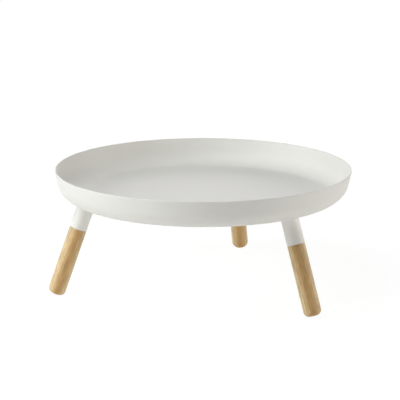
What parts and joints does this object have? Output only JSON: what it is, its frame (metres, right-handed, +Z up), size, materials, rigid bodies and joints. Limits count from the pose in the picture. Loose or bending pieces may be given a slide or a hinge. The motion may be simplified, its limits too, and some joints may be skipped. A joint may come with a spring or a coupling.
{
  "type": "tray table",
  "caption": "Low round tray table: a deep white steel pan with a leaning wall and a rounded rim, on splayed wooden legs that screw into sockets welded under it.",
  "frame": {"origin": "on the tray's axis, at the height of the flat surface that the feet stand on", "axes": "+Z up along the tray's axis; +Y towards the rear leg; +X to the right when seen from the front, between the two front legs"},
  "size_m": [0.3, 0.3098, 0.124],
  "materials": {
    "white_powder_coat": "fine matte powder coat on steel",
    "oak": "oiled, straight grain along the leg",
    "zinc_steel": "bright zinc plate",
    "plain_steel": "turned steel"
  },
  "bodies": {
    "tray": {"tray_pan": "white_powder_coat", "rear_socket": "white_powder_coat", "front_left_socket": "white_powder_coat", "front_right_socket": "white_powder_coat", "rear_plug": "plain_steel", "front_left_plug": "plain_steel", "front_right_plug": "plain_steel"},
    "rear_washer": {"rear_washer": "zinc_steel"},
    "rear_leg": {"rear_leg": "oak", "rear_stud": "zinc_steel"},
    "front_left_washer": {"front_left_washer": "zinc_steel"},
    "front_left_leg": {"front_left_leg": "oak", "front_left_stud": "zinc_steel"},
    "front_right_washer": {"front_right_washer": "zinc_steel"},
    "front_right_leg": {"front_right_leg": "oak", "front_right_stud": "zinc_steel"}
  },
  "joints": [
    {"name": "rear_leg_travel", "type": "slide", "parent": "tray", "child": "rear_washer", "axis": [0, 0.342, -0.9397], "range_m": [0, 0.013]},
    {"name": "rear_leg_turn", "type": "hinge", "parent": "rear_washer", "child": "rear_leg", "pos_m": [0, 0.12897, 0.06775], "axis": [0, 0.342, -0.9397], "range_deg": [0, 3744]},
    {"name": "front_left_leg_travel", "type": "slide", "parent": "tray", "child": "front_left_washer", "axis": [-0.2962, -0.171, -0.9397], "range_m": [0, 0.013]},
    {"name": "front_left_leg_turn", "type": "hinge", "parent": "front_left_washer", "child": "front_left_leg", "pos_m": [-0.11169, -0.06448, 0.06775], "axis": [-0.2962, -0.171, -0.9397], "range_deg": [0, 3744]},
    {"name": "front_right_leg_travel", "type": "slide", "parent": "tray", "child": "front_right_washer", "axis": [0.2962, -0.171, -0.9397], "range_m": [0, 0.013]},
    {"name": "front_right_leg_turn", "type": "hinge", "parent": "front_right_washer", "child": "front_right_leg", "pos_m": [0.11169, -0.06448, 0.06775], "axis": [0.2962, -0.171, -0.9397], "range_deg": [0, 3744]}
  ],
  "couplings": [
    {"joint": "rear_leg_turn", "follows": "rear_leg_travel", "rad_per_m": 5026.5},
    {"joint": "front_left_leg_turn", "follows": "front_left_leg_travel", "rad_per_m": 5026.5},
    {"joint": "front_right_leg_turn", "follows": "front_right_leg_travel", "rad_per_m": 5026.5}
  ]
}
